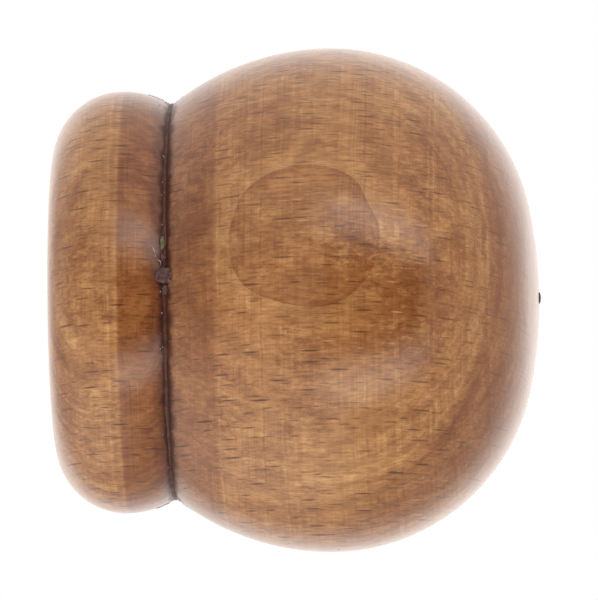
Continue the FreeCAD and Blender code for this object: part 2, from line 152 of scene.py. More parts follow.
beechLook = {
    "outward": (0.0, -0.966, 0.258),         # from the pith towards the bark
    "sideways": (0.0, 0.258, 0.966),
    "pithDepth": 110.0,                      # mm from the turning axis
    "ringBow": 72.0,                         # radius of the rings' sweep along the trunk, mm
    "bowCentre": 33.7,
    "ringWidth": 4.3,
    "ringEdge": 26.75,                       # where one ring ends, mm from the turning axis
    "ringWander": 0.55,
    "wanderWaves": (0.11, 0.16, 0.10),
    "clearRing": ((27.9, -26.5, 7.1), 15.0),  # centre and radius of where the rings are cut flat
    "clearFade": (0.0, 0.5, 0.35, 1.0),      # fades: where one begins and ends, then its levels there
    "clearAtWall": (2.0, 14.0, 0.0, 0.72),
    "lateFade": (0.2, 1.0, 0.0, 0.36),       # by age within the ring
    "rimFade": (0.90, 0.975, 0.0, 1.0),
    "rimPale": 0.25,
    "startFade": (0.045, 0.0, 0.0, 1.0),
    "startDark": 0.55,
    "leastPale": 0.06,
    "pale": colour(0.665, 0.328, 0.118),
    "middle": colour(0.475, 0.188, 0.058),
    "deep": colour(0.280, 0.084, 0.023),
    "rayBrown": colour(0.115, 0.034, 0.013),
    "paintedSheenGold": colour(0.800, 0.460, 0.200),
    "darkRays": {"cell": (2.9, 1.00, 6.0), "shape": (2.3, 8.0, 1.05), "start": 0.0},
    "shortRays": {"cell": (1.9, 0.62, 4.0), "shape": (2.6, 6.8, 1.05), "start": 11.0},
    "sheenFlakes": {"cell": (2.4, 0.80, 5.0), "shape": (2.6, 7.0, 1.05), "start": 23.0},
    "lensSize": (0.45, 0.85),                # the smallest lens, and how much more the largest has
    "flakeOdds": (0.3, 1.0, 0.0, 1.0),       # how a lens's own chance sets its strength
    "shortRayOdds": (0.25, 1.0, 0.0, 1.0),
    "darkRayOdds": (0.0, 0.9, 0.3, 0.95),
    "flakesEnd": (45.0, 40.0),               # along the axis, mm
    "flakesAtGroove": (16.5, 19.5, 0.35, 1.0),
    "shortRayDark": 0.6,
    "quieten": -0.24,                        # how much paler rays are in the quiet places
    "quietRays": [((42.0, -18.0, -4.0), 19.0), ((28.0, -24.0, 12.0), 16.0), ((15.0, -23.0, 3.0), 9.0),
                  ((16.0, -17.0, 16.0), 10.0)],
    # partly uneven stain, partly painted light and shade: paler towards the top and bottom of ball and
    # collar, darker across the ball's front and towards the nose
    "lightShadeAndStainClouds": [                              # centre in mm, radius, how pale (plus) or deep (minus)
        ((31.0, -21.0, -17.5), 15.0, 0.60),
        ((7.0, -20.0, -13.0), 9.0, 0.35),
        ((38.5, -25.0, 0.5), 9.5, -0.80),
        ((16.5, -23.0, 7.0), 9.0, -0.62),
        ((47.5, -11.0, -14.0), 12.0, -0.48),
        ((42.5, -17.0, 15.5), 9.0, -0.40),
        ((34.0, -26.5, 5.5), 4.0, -0.50),
        ((30.0, -16.0, 22.0), 12.0, 0.35),
        ((5.0, -21.0, 3.0), 13.0, 0.45),
        ((6.0, -15.0, 16.0), 9.0, 0.40),
    ],
    "patches": {                             # waves per mm, detail, roughness, start; noise range; levels
        "ringBreaks": (0.50, 2.0, 0.5, None, (0.35, 0.55), (0.35, 1.0)),
        "deepClouds": (0.13, 3.0, 0.6, None, (0.48, 0.75), (0.0, 0.5)),
        "paleClouds": (0.17, 3.0, 0.6, (31.0, 7.0, 19.0), (0.5, 0.75), (0.0, 0.5)),
        "mottled": (0.12, 1.0, 0.5, (2.0, 9.0, 40.0), (0.35, 0.65), (0.2, 0.8)),
        "turned": (0.35, 3.0, 0.6, (5.0, 50.0, 3.0), (0.38, 0.62), (0.1, 0.95)),
        "flaked": (0.14, 2.0, 0.5, (70.0, 3.0, 8.0), (0.45, 0.62), (0.15, 0.6)),
        "shadowReach": (0.30, 3.0, 0.6, (9.0, 4.0, 60.0), (0.3, 0.7), (0.8, 2.4)),
        "grooveReach": (0.45, 3.0, 0.65, None, (0.3, 0.72), (0.55, 1.30)),
    },
    "mottle": {"waves": (0.75, 1.1, 0.9), "detail": 4.0, "roughness": 0.75},
    "mottleDark": ((0.50, 0.64), 0.68),      # noise range and strength
    "mottlePale": ((0.50, 0.36), 0.50),
    "crackle": ((34.0, -26.5, 4.0), 6.0),    # where the mottling is strongest
    "crackleMore": 0.7,
    "streaks": {                             # waves per mm along, round and across; noise range; levels
        "sweeps": ((0.28, 0.36, 0.8), 2.0, 0.6, (0.34, 0.66), (0.87, 1.12)),
        "fibres": ((0.5, 3.4, 2.2), 4.0, 0.65, (0.33, 0.67), (0.86, 1.14)),
        "pores": ((1.5, 9.0, 5.0), 2.0, 0.7, (0.30, 0.70), (0.92, 1.08)),
    },
    "layerWaves": 0.9,
    "layerSwing": 0.35,
    "roundingArcs": ((1.5, -17.0, -8.0), 11.0, 0.7),   # where the collar's rounding cuts across the layers
    "roundingSwing": 0.9,
    "turnedWaves": 1.9,
    "turnedStray": 0.6,
    "warmth": (1.35, 1.6),                   # dark streaks lose more green, and most blue
    "endGrainDark": (0.5, 1.0, 0.0, 0.4),
}

noseLightLook = {                                  # a painted pale crescent of light towards the nose, seen from the front, and painted shade past it towards the rim
    "centre": (30.1, 4.4),                   # along the axis and up, mm
    "halfSize": (18.55, 25.5),
    "begins": (30.0, 38.0),                  # along the axis
    "front": (0.0, 8.0),
    "paintedLightPart": ((0.78, 0.90), (1.0, 0.93), 0.30),
    "paintedShadePart": ((0.94, 1.01), 0.42),
    "nestedPart": ((0.70, 0.9), (1.15, 1.0), 0.5),
    "nestedWaves": 26.0,
}

grooveStainAndShade = {                                # darker between crisp lines beside the groove, and more on its collar side as partly painted shade; a painted shadow beside it; stain caught in it; painted shade round the side hole
    "bandTone": colour(0.76, 0.67, 0.62),
    "collarShadeTone": colour(0.87, 0.79, 0.76),
    "shadowBrown": colour(0.120, 0.026, 0.011),
    "grooveBrown": colour(0.062, 0.014, 0.008),
    "bandSoftness": 0.28,
    "shadowOffset": -0.25,
    "shadowStrength": 0.62,
    "caughtOffset": 0.05,
    "caughtStrength": 0.93,
    "holeShadeMargin": 0.9,
    "holeShadeStrength": 0.7,
}

lacquerLook = {
    "peelWaves": 0.8,                        # a faint orange peel
    "fineWaves": 5.0,
    "fineShare": 0.10,
    "turnedShare": 0.12,
    "bumpStrength": 0.08,
    "bumpDepth": 0.0004,
    "dullInGroove": -0.75,
    "shader": {
        "Roughness": 0.42,
        "Specular IOR Level": 0.06,
        "Sheen Weight": 0.5,
        "Sheen Roughness": 0.35,
        "Sheen Tint": colour(1.0, 0.62, 0.42),
        "Coat Roughness": 0.17,
        "Coat IOR": 1.5,
    },
}


def lensScatter(tree, grain, cell, shape, start):
    # thin lens shapes on a jittered lattice; gives how much of one covers the point, and its own chance
    place = joinVector(tree, *[calc(tree, "MULTIPLY_ADD", axis, 1 / size, start)
                               for axis, size in zip(grain, cell)])
    scatter = addNode(tree, "ShaderNodeTexVoronoi", {"Vector": place, "Scale": 1.0, "Randomness": 1.0})
    offset = vectorCalc(tree, "SUBTRACT", place, scatter.outputs["Position"])
    lot = addNode(tree, "ShaderNodeSeparateColor", {0: scatter.outputs["Color"]})
    reach = vectorCalc(tree, "LENGTH", vectorCalc(tree, "MULTIPLY", offset, shape))
    smallest, more = beechLook["lensSize"]
    size = calc(tree, "MULTIPLY_ADD", lot.outputs[0], more, smallest)
    return fade(tree, calc(tree, "DIVIDE", reach, size), 1.0, 0.3), lot.outputs[1]


def fibreNoise(tree, grain, waves, detail, roughness):
    # noise stretched along the grain
    thin = joinVector(tree, *[calc(tree, "MULTIPLY", axis, scale) for axis, scale in zip(grain, waves)])
    return noise(tree, thin, 1.0, detail, roughness)


def streaks(tree, grain, name):
    waves, detail, roughness, span, levels = beechLook["streaks"][name]
    return fade(tree, fibreNoise(tree, grain, waves, detail, roughness), *span, *levels)


def patches(tree, point, name):
    waves, detail, roughness, start, span, levels = beechLook["patches"][name]
    if start:
        point = shift(tree, point, start)
    return fade(tree, noise(tree, point, waves, detail, roughness), *span, *levels)


def woodFigure(tree):
    # gives the point in mm, its place along the grain, among the rings and within one, and the grain
    look = beechLook
    point = toMillimetres(tree, addNode(tree, "ShaderNodeTexCoord").outputs["Object"])
    along = addNode(tree, "ShaderNodeSeparateXYZ", {0: point}).outputs[0]
    out = calc(tree, "ADD", dot(tree, point, look["outward"]), look["pithDepth"])
    side = dot(tree, point, look["sideways"])
    radius = calc(tree, "SQRT", calc(tree, "MULTIPLY_ADD", side, side, calc(tree, "MULTIPLY", out, out)))
    turn = calc(tree, "ARCTAN2", side, out)
    edgeRadius = look["pithDepth"] + look["ringEdge"]
    grain = (along, calc(tree, "MULTIPLY", turn, edgeRadius), radius)

    # rings bow along the trunk and wander a little, so that their outlines are not perfect curves
    fromBow = calc(tree, "SUBTRACT", along, look["bowCentre"])
    bow = product(tree, fromBow, fromBow, 0.5 / look["ringBow"])
    wander = calc(tree, "SUBTRACT", fibreNoise(tree, grain, look["wanderWaves"], 1.0, 0.3), 0.5)
    ringPlace = calc(tree, "MULTIPLY_ADD", wander, look["ringWander"], calc(tree, "ADD", radius, bow))
    fromEdge = calc(tree, "SUBTRACT", ringPlace, edgeRadius)
    wholeRings = 40.0                        # keeps the count of rings above zero
    ringAge = calc(tree, "FRACT", calc(tree, "MULTIPLY_ADD", fromEdge, 1 / look["ringWidth"], wholeRings))
    return point, along, ringPlace, ringAge, grain


def ringShade(tree, point, ringAge):
    # early wood drinks more stain, so each ring starts dark and ends pale, clearest where it is cut flat
    look = beechLook
    clear = fade(tree, spot(tree, point, *look["clearRing"]), *look["clearFade"])
    wallSide = fade(tree, dot(tree, point, towardsWall), *look["clearAtWall"])
    clear = calc(tree, "MAXIMUM", clear, wallSide)
    late = product(tree, fade(tree, ringAge, *look["lateFade"]), clear)
    rim = product(tree, fade(tree, ringAge, *look["rimFade"]), clear, look["rimPale"])
    paleness = calc(tree, "ADD", calc(tree, "ADD", late, rim), look["leastPale"])
    shade = tint(tree, paleness, look["middle"], look["pale"])
    start = product(tree, fade(tree, ringAge, *look["startFade"]), patches(tree, point, "ringBreaks"), clear)
    return tint(tree, calc(tree, "MULTIPLY", start, look["startDark"]), shade, look["deep"])


def cloudShade(tree, point, grain, shade):
    # broad clouds, partly uneven stain and partly painted light and shade (paler towards the top and bottom,
    # darker across the ball's front and towards the nose), then smaller mottling inside them
    look = beechLook
    for centre, radius, strength in look["lightShadeAndStainClouds"]:
        towards = look["pale"] if strength > 0 else look["deep"]
        amount = calc(tree, "MULTIPLY", spot(tree, point, centre, radius), abs(strength))
        shade = tint(tree, amount, shade, towards)
    shade = tint(tree, patches(tree, point, "deepClouds"), shade, look["deep"])
    shade = tint(tree, patches(tree, point, "paleClouds"), shade, look["pale"])
    mottle = fibreNoise(tree, grain, **look["mottle"])
    crackle = calc(tree, "MULTIPLY", spot(tree, point, *look["crackle"]), look["crackleMore"])
    mottled = calc(tree, "ADD", patches(tree, point, "mottled"), crackle)
    for tone, towards in (("mottleDark", "deep"), ("mottlePale", "pale")):
        span, strength = look[tone]
        shade = tint(tree, product(tree, fade(tree, mottle, *span), mottled, strength), shade, look[towards])
    return shade


def noseLightAndShade(tree, point, along, shade):
    # painted light in a pale crescent towards the nose and painted shade past it towards the rim, with fine
    # nested layers of the wood along its edge
    look = noseLightLook
    (middleX, middleZ), (halfX, halfZ) = look["centre"], look["halfSize"]
    centred = shift(tree, point, (-middleX, 0.0, -middleZ))
    reach = vectorCalc(tree, "LENGTH", vectorCalc(tree, "MULTIPLY", centred, (1 / halfX, 0.0, 1 / halfZ)))
    nosewards = fade(tree, along, *look["begins"])
    frontSide = fade(tree, dot(tree, point, beechLook["outward"]), *look["front"])
    rise, fall, strength = look["paintedLightPart"]
    inside = product(tree, fade(tree, reach, *rise), fade(tree, reach, *fall), nosewards, frontSide)
    shade = tint(tree, calc(tree, "MULTIPLY", inside, strength), shade, beechLook["pale"])
    rise, strength = look["paintedShadePart"]
    beyond = product(tree, fade(tree, reach, *rise), nosewards, frontSide)
    shade = tint(tree, calc(tree, "MULTIPLY", beyond, strength), shade, beechLook["deep"])
    nested = calc(tree, "SUBTRACT", lineNoise(tree, reach, look["nestedWaves"], 2.0), 0.5)
    rise, fall, strength = look["nestedPart"]
    nestedHere = product(tree, fade(tree, reach, *rise), fade(tree, reach, *fall), nosewards, frontSide,
                         strength)
    return shade, calc(tree, "MULTIPLY_ADD", nested, nestedHere, 1.0)


def flecks(tree, point, along, grain, shade):
    # gold flakes, painted as the rays' sheen, then dark rays of two sizes
    look = beechLook
    flake, chance = lensScatter(tree, grain, **look["sheenFlakes"])
    flaked = product(tree, patches(tree, point, "flaked"), fade(tree, along, *look["flakesEnd"]),
                     fade(tree, along, *look["flakesAtGroove"]))
    gold = product(tree, flake, fade(tree, chance, *look["flakeOdds"]), flaked)
    shade = tint(tree, gold, shade, look["paintedSheenGold"])
    loud = 1.0
    for centre, radius in look["quietRays"]:
        quiet = spot(tree, point, centre, radius, 0.6)
        loud = product(tree, loud, calc(tree, "MULTIPLY_ADD", quiet, look["quieten"], 1.0))
    ray, chance = lensScatter(tree, grain, **look["shortRays"])
    dark = product(tree, ray, fade(tree, chance, *look["shortRayOdds"]), loud, look["shortRayDark"])
    shade = tint(tree, dark, shade, look["rayBrown"])
    ray, chance = lensScatter(tree, grain, **look["darkRays"])
    dark = product(tree, ray, fade(tree, chance, *look["darkRayOdds"]), loud)
    return tint(tree, dark, shade, look["rayBrown"])


def bandMask(tree, along, start, end):
    soft = grooveStainAndShade["bandSoftness"]
    return product(tree, fade(tree, along, start - soft, start + soft),
                   fade(tree, along, end + soft, end - soft))


def nearGroove(tree, point, along, offset, reach):
    # distance from the groove, measured against a reach that varies round the turning
    away = calc(tree, "ABSOLUTE", calc(tree, "SUBTRACT", along, grooveShape["centre"] + offset))
    return calc(tree, "DIVIDE", away, patches(tree, point, reach))


def stainAndShadeByGroove(tree, point, along, shade):
    # darker between two crisp lines beside the groove, and more on its collar side as partly painted shade; a
    # painted shadow on its collar side; stain caught in it; and painted shade round the side hole's mouth
    look = grooveStainAndShade
    shade = tint(tree, bandMask(tree, along, *grooveShape["darkBand"]), shade, look["bandTone"], "MULTIPLY")
    # darker still on the collar's side: partly painted shade where the shoulder faces the ball
    collarBand = bandMask(tree, along, grooveShape["darkBand"][0], grooveShape["centre"])
    shade = tint(tree, collarBand, shade, look["collarShadeTone"], "MULTIPLY")
    # a soft painted shadow beside the groove, on its collar side
    near = nearGroove(tree, point, along, look["shadowOffset"], "shadowReach")
    soft = calc(tree, "MULTIPLY", fade(tree, near, 1.0, 0.1), look["shadowStrength"])
    shade = tint(tree, soft, shade, look["shadowBrown"])
    caught = fade(tree, nearGroove(tree, point, along, look["caughtOffset"], "grooveReach"), 1.0, 0.25)
    shade = tint(tree, calc(tree, "MULTIPLY", caught, look["caughtStrength"]), shade, look["grooveBrown"])
    # painted shade round the side hole's mouth, on the back
    holeWay = vectorCalc(tree, "MULTIPLY", point, (1.0, 0.0, 1.0))
    mouth = spot(tree, holeWay, (turningShape["cornerArc"], 0.0, 0.0),
                 turningShape["sideHoleRadius"] + look["holeShadeMargin"], 0.25)
    behind = fade(tree, dot(tree, point, towardsWall), 10.0, 12.0)
    return tint(tree, product(tree, mouth, behind, look["holeShadeStrength"]), shade, look["grooveBrown"]), caught


def stainedBeech():
    look = beechLook
    material, tree = newMaterial("stainedBeech")
    point, along, ringPlace, ringAge, grain = woodFigure(tree)
    shade = ringShade(tree, point, ringAge)
    shade = cloudShade(tree, point, grain, shade)
    shade, nestedTone = noseLightAndShade(tree, point, along, shade)

    # layers, fibres, pores, and the faint lines that turning and sanding leave round the axis
    layers = calc(tree, "SUBTRACT", lineNoise(tree, ringPlace, look["layerWaves"], 3.0, 0.6), 0.5)
    swing = calc(tree, "MULTIPLY_ADD", spot(tree, point, *look["roundingArcs"]), look["roundingSwing"],
                 look["layerSwing"])
    layerTone = calc(tree, "MULTIPLY_ADD", layers, swing, 1.0)
    where = calc(tree, "MULTIPLY_ADD", noise(tree, point, 0.25, 1.0, 0.5), look["turnedStray"], along)
    turnedLines = lineNoise(tree, where, look["turnedWaves"], 4.0, 0.8)
    turned = product(tree, calc(tree, "SUBTRACT", turnedLines, 0.5), patches(tree, point, "turned"))
    sweeps, fibres, pores = [streaks(tree, grain, name) for name in ("sweeps", "fibres", "pores")]
    tone = product(tree, layerTone, sweeps, nestedTone, fibres, pores, calc(tree, "ADD", turned, 1.0))
    green, blue = [calc(tree, "POWER", tone, power) for power in look["warmth"]]
    shade = tint(tree, 1.0, shade, joinVector(tree, tone, green, blue), "MULTIPLY")
    shade = flecks(tree, point, along, grain, shade)

    # end grain, where the surface faces along the grain, drinks more
    normal = addNode(tree, "ShaderNodeNewGeometry").outputs["Normal"]
    facing = calc(tree, "ABSOLUTE", dot(tree, normal, alongPole))
    shade = tint(tree, fade(tree, facing, *look["endGrainDark"]), shade, look["deep"])
    shade, caught = stainAndShadeByGroove(tree, point, along, shade)

    # lacquer, dull where stain and dust fill the groove
    look = lacquerLook
    peel = noise(tree, point, look["peelWaves"], 2.0, 0.5)
    fine = noise(tree, point, look["fineWaves"], 2.0, 0.6)
    height = calc(tree, "MULTIPLY_ADD", fine, look["fineShare"], peel)
    height = calc(tree, "MULTIPLY_ADD", turnedLines, look["turnedShare"], height)
    setSurface(tree, {
        "Base Color": shade,
        "Coat Weight": calc(tree, "MULTIPLY_ADD", caught, look["dullInGroove"], 1.0),
        "Coat Normal": bumps(tree, height, look["bumpStrength"], look["bumpDepth"]),
        **look["shader"],
    })
    return material


boredLook = {                                # unstained wood inside the socket and the side hole
    "early": colour(0.50, 0.32, 0.175),
    "late": colour(0.62, 0.44, 0.265),
    "ray": colour(0.30, 0.155, 0.075),
    "rayStrength": 0.6,
    "bleed": (3.4, -0.6),                    # how far stain has bled in at the mouth, mm
    "bleedSoftness": 0.5,
    "bitWaves": 3.0,                         # the bit's rings
    "bumpStrength": 0.4,
    "bumpDepth": 0.0002,
    "shader": {"Roughness": 0.78, "Specular IOR Level": 0.3},
}


def rawBeech():
    look = boredLook
    material, tree = newMaterial("rawBeech")
    point, along, ringPlace, ringAge, grain = woodFigure(tree)
    shade = tint(tree, fade(tree, ringAge, 0.0, 1.0), look["early"], look["late"])
    ray, chance = lensScatter(tree, grain, **beechLook["darkRays"])
    shade = tint(tree, product(tree, ray, look["rayStrength"]), shade, look["ray"])
    fibre = fibreNoise(tree, grain, *beechLook["streaks"]["fibres"][:3])
    shade = tint(tree, 1.0, shade, grey(tree, fade(tree, fibre, 0.25, 0.75, 0.78, 1.1)), "MULTIPLY")
    bled = calc(tree, "MULTIPLY_ADD", noise(tree, point, 0.7, 3.0, 0.6), *look["bleed"])
    stained = fade(tree, along, calc(tree, "ADD", bled, look["bleedSoftness"]), bled)
    shade = tint(tree, stained, shade, beechLook["middle"])
    height = calc(tree, "ADD", fibre, lineNoise(tree, along, look["bitWaves"]))
    setSurface(tree, {
        "Base Color": shade,
        "Normal": bumps(tree, height, look["bumpStrength"], look["bumpDepth"]),
        **look["shader"],
    })
    return material


def roughGrain(name, dark, light, grain, roughness, coat=0.0):
    # for small things: broken end grain, pooled lacquer, dust and splinters
    material, tree = newMaterial(name)
    place = addNode(tree, "ShaderNodeTexCoord").outputs["Object"]
    cloud = noise(tree, place, grain, 3.0, 0.65)
    normal = bumps(tree, cloud, 0.4, 0.0001)
    setSurface(tree, {
        "Base Color": tint(tree, fade(tree, cloud, 0.32, 0.68), dark, light),
        "Roughness": roughness,
        "Specular IOR Level": 0.3,
        "Coat Weight": coat,
        "Coat Roughness": 0.12,
        "Normal": normal,
        "Coat Normal": normal,
    })
    return material


# the turning: a lathe mesh over the same arcs as the design

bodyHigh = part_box("finial_body")[1]
turningShape = {
    "length": bodyHigh.x / mm,
    "ballRadius": bodyHigh.z / mm,
    "ballCentre": 30.1,
    "frontArc": 22.2,
    "collarRadius": 23.05,
    "cornerArc": 7.55,
    "shoulderArc": 10.2,
    "grooveFillet": 0.3,
    "pipRadius": 0.65,
    "pipHeight": 0.2,
    "socketRadius": 14.2,
    "socketDepth": 20.0,
    "socketChamfer": 0.4,
    "pitRadius": 1.6,
    "pitDepth": 1.8,
    "sideHoleRadius": 3.2,
    "drill": {"length": 20.0, "middle": 18.0, "sides": 96},
    "slices": 432,
    "step": 0.3,                             # between points along the outline, mm
    "filletStep": 0.06,
    "socketStep": 1.0,
    "pipSteps": 6,
    "margin": 0.02,                          # for telling bored faces from turned ones
    "tip": {"name": "tornTip", "dark": colour(0.045, 0.032, 0.026),
            "light": colour(0.14, 0.10, 0.075), "grain": 9000.0, "roughness": 0.85},
}


def grooveBottom():
    # the fillet between the shoulder's arc and the ball's arc: its centre, and the way to each arc's centre
    s = turningShape
    shoulderY = s["collarRadius"] - s["shoulderArc"]
    span = s["ballCentre"] - s["cornerArc"]
    gap = math.hypot(span, shoulderY)
    toShoulder = s["shoulderArc"] + s["grooveFillet"]
    toBall = s["ballRadius"] + s["grooveFillet"]
    alongGap = (gap ** 2 + toShoulder ** 2 - toBall ** 2) / (2 * gap)
    aside = math.sqrt(toShoulder ** 2 - alongGap ** 2)
    unitX = span / gap
    unitY = -shoulderY / gap
    filletX = s["cornerArc"] + alongGap * unitX - aside * unitY
    filletY = shoulderY + alongGap * unitY + aside * unitX
    towardsShoulder = math.atan2(shoulderY - filletY, s["cornerArc"] - filletX)
    towardsBall = math.atan2(-filletY, s["ballCentre"] - filletX)
    return filletX, filletY, towardsShoulder, towardsBall


grooveX, grooveY, grooveStart, grooveEnd = grooveBottom()
grooveShape = {
    "centre": grooveX,
    "bottom": grooveY - turningShape["grooveFillet"],
    "darkBand": (turningShape["cornerArc"] + 0.35, 18.35),
}


def arcPoints(centre, radius, start, end, step):
    count = max(3, round(abs(end - start) * radius / step))
    points = []
    for i in range(count + 1):
        angle = start + (end - start) * i / count
        points.append((centre[0] + radius * math.cos(angle), centre[1] + radius * math.sin(angle)))
    return points


def linePoints(start, end, step):
    count = max(1, round(math.dist(start, end) / step))
    return [(start[0] + (end[0] - start[0]) * i / count, start[1] + (end[1] - start[1]) * i / count)
            for i in range(count + 1)]


def turningOutline():
    # from the pit in the socket's floor, out of the mouth, over collar, groove and ball, to the nose
    s = turningShape
    upright = math.pi / 2
    corner = s["cornerArc"]
    shoulderY = s["collarRadius"] - s["shoulderArc"]

    noseX = s["length"] - s["pipHeight"]
    reach = noseX - s["ballCentre"]
    lift = s["ballRadius"] - s["frontArc"]
    cap = (reach ** 2 + lift ** 2 - s["frontArc"] ** 2) / (2 * (reach - s["frontArc"]))
    capJoin = math.atan2(lift, s["ballCentre"] - (noseX - cap))
    pipAngle = math.asin(s["pipRadius"] / cap)

    step = s["step"]
    socket = [
        (s["socketDepth"] + s["pitDepth"], 0.0),
        (s["socketDepth"], s["pitRadius"]),
        (s["socketDepth"], s["socketRadius"]),
        (s["socketChamfer"], s["socketRadius"]),
        (0.0, s["socketRadius"] + s["socketChamfer"]),
        (0.0, s["collarRadius"] - corner),
    ]
    runs = [linePoints(socket[i], socket[i + 1], s["socketStep"]) for i in range(len(socket) - 1)]
    runs += [
        arcPoints((corner, s["collarRadius"] - corner), corner, math.pi, upright, step),
        arcPoints((corner, shoulderY), s["shoulderArc"], upright, grooveStart + math.pi, step),
        arcPoints((grooveX, grooveY), s["grooveFillet"], grooveStart, grooveEnd, s["filletStep"]),
        arcPoints((s["ballCentre"], 0), s["ballRadius"], grooveEnd + math.pi, upright, step),
        arcPoints((s["ballCentre"], lift), s["frontArc"], upright, capJoin, step),
        arcPoints((noseX - cap, 0), cap, capJoin, pipAngle, step),
    ]
    # the pip is a low dome of torn end grain
    pipFoot = noseX - cap + cap * math.cos(pipAngle)
    pipSteps = s["pipSteps"]
    runs.append([(pipFoot + (s["length"] - pipFoot) * math.sin(upright * i / pipSteps),
                  s["pipRadius"] * math.cos(upright * i / pipSteps)) for i in range(pipSteps)])
    outline = [runs[0][0]]
    for run in runs:
        outline += run[1:]
    return outline + [(s["length"], 0.0)]


def latheMesh(name, outline, slices):
    # a closed skin round the X axis; the first and last points lie on the axis
    mesh = bmesh.new()
    first = mesh.verts.new((outline[0][0] * mm, 0, 0))
    last = mesh.verts.new((outline[-1][0] * mm, 0, 0))
    rings = []
    for x, r in outline[1:-1]:
        ring = []
        for i in range(slices):
            angle = 2 * math.pi * i / slices
            ring.append(mesh.verts.new((x * mm, r * mm * math.sin(angle), r * mm * math.cos(angle))))
        rings.append(ring)
    for i in range(slices):
        j = (i + 1) % slices
        mesh.faces.new((first, rings[0][i], rings[0][j]))
        mesh.faces.new((last, rings[-1][j], rings[-1][i]))
    for near, far in zip(rings, rings[1:]):
        for i in range(slices):
            j = (i + 1) % slices
            mesh.faces.new((near[i], far[i], far[j], near[j]))
    bmesh.ops.recalc_face_normals(mesh, faces=mesh.faces)
    data = bpy.data.meshes.new(name)
    mesh.to_mesh(data)
    mesh.free()
    piece = bpy.data.objects.new(name, data)
    bpy.context.scene.collection.objects.link(piece)
    return piece


def smoothShade(piece, angle=30):
    piece.data.shade_smooth()
    piece.data.set_sharp_from_angle(angle=math.radians(angle))


def boreSideHole(piece):
    s = turningShape
    drill = s["drill"]
    data = bpy.data.meshes.new("sideDrill")
    mesh = bmesh.new()
    radius = s["sideHoleRadius"] * mm
    bmesh.ops.create_cone(mesh, cap_ends=True, segments=drill["sides"], radius1=radius, radius2=radius,
                          depth=drill["length"] * mm)
    bmesh.ops.rotate(mesh, verts=mesh.verts, matrix=Matrix.Rotation(math.radians(90), 3, "X"))
    bmesh.ops.translate(mesh, verts=mesh.verts, vec=(s["cornerArc"] * mm, drill["middle"] * mm, 0))
    bmesh.ops.recalc_face_normals(mesh, faces=mesh.faces)
    mesh.to_mesh(data)
    mesh.free()
    cutter = bpy.data.objects.new("sideDrill", data)
    bpy.context.scene.collection.objects.link(cutter)
    cut = piece.modifiers.new("sideHole", "BOOLEAN")
    cut.operation = "DIFFERENCE"
    cut.object = cutter
    cut.solver = "EXACT"
    bpy.context.view_layer.objects.active = piece
    bpy.ops.object.modifier_apply(modifier=cut.name)
    bpy.data.objects.remove(cutter)


def makeTurning():
    s = turningShape
    piece = latheMesh("beechTurning", turningOutline(), s["slices"])
    boreSideHole(piece)
    piece.data.materials.clear()
    for material in (stainedBeech(), rawBeech(), roughGrain(**s["tip"])):
        piece.data.materials.append(material)

    # bored faces show raw wood, the pip torn end grain, and the rest is stained
    boreRadius = (s["socketRadius"] + s["margin"]) * mm
    holeRadius = (s["sideHoleRadius"] + s["margin"]) * mm
    boreStart = s["socketChamfer"] * 0.5 * mm
    boreEnd = (s["socketDepth"] + s["pitDepth"]) * mm
    for face in piece.data.polygons:
        centre = face.center
        inSocket = math.hypot(centre.y, centre.z) < boreRadius and boreStart < centre.x < boreEnd
        inHole = centre.y > 0 and math.hypot(centre.x - s["cornerArc"] * mm, centre.z) < holeRadius
        atPip = centre.x > (s["length"] - s["pipHeight"]) * mm
        face.material_index = 1 if inSocket or inHole else 2 if atPip else 0
    smoothShade(piece)
    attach(piece, "finial")
    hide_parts("finial_body")
    return piece


turning = makeTurning()
print("turning made:", len(turning.data.polygons), "faces")


# what lies on the turning: lacquer pooled in the groove, drips, splinters, dust under the lacquer, and at the
# groove's limbs dark ridges and pale crumbs that are partly painted reflection and highlight

skinOutline = [p for p in turningOutline() if p[1] > turningShape["collarRadius"] - turningShape["cornerArc"]
               or p[0] > turningShape["socketDepth"] + turningShape["pitDepth"]]


def skinPoint(x, clock, rise=0.0):
    # a point on the turned skin and the way out of it; the clock runs in degrees from -Y up towards +Z
    for (x0, r0), (x1, r1) in zip(skinOutline, skinOutline[1:]):
        if x0 <= x <= x1 and x1 > x0:
            break
    slope = (r1 - r0) / (x1 - x0)
    r = r0 + (r1 - r0) * (x - x0) / (x1 - x0)
    turn = math.radians(clock)
    radial = Vector((0, -math.cos(turn), math.sin(turn)))
    normal = (radial - Vector((slope, 0, 0))).normalized()
    return Vector((x, 0, 0)) * mm + radial * r * mm + normal * rise * mm, normal


def addLump(mesh, place, normal, sizes, detail, roughness, shuffle):
    # one uneven lump, sized along the axis, round the turning and out of the skin
    along = (Vector(alongPole) - normal * normal.x).normalized()
    across = normal.cross(along)
    axes = Matrix((along * sizes[0] * mm, across * sizes[1] * mm, normal * sizes[2] * mm)).transposed()
    start = Vector((shuffle.uniform(0, 50), shuffle.uniform(0, 50), shuffle.uniform(0, 50)))
    made = bmesh.ops.create_icosphere(mesh, subdivisions=detail, radius=1.0)
    for vert in made["verts"]:
        broad = roughness * mathNoise.noise(vert.co * 1.7 + start)
        fine = 0.4 * roughness * mathNoise.noise(vert.co * 5 + start)
        vert.co = place + axes @ (vert.co * (1 + broad + fine))


def closeLoop(mesh, near, far):
    # a ring of faces between two rings of points
    for j in range(len(near)):
        k = (j + 1) % len(near)
        mesh.faces.new((near[j], far[j], far[k], near[k]))


def finishPiece(mesh, name, material):
    bmesh.ops.recalc_face_normals(mesh, faces=mesh.faces)
    data = bpy.data.meshes.new(name)
    mesh.to_mesh(data)
    mesh.free()
    data.materials.append(material)
    piece = bpy.data.objects.new(name, data)
    bpy.context.scene.collection.objects.link(piece)
    data.shade_smooth()
    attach(piece, "finial")


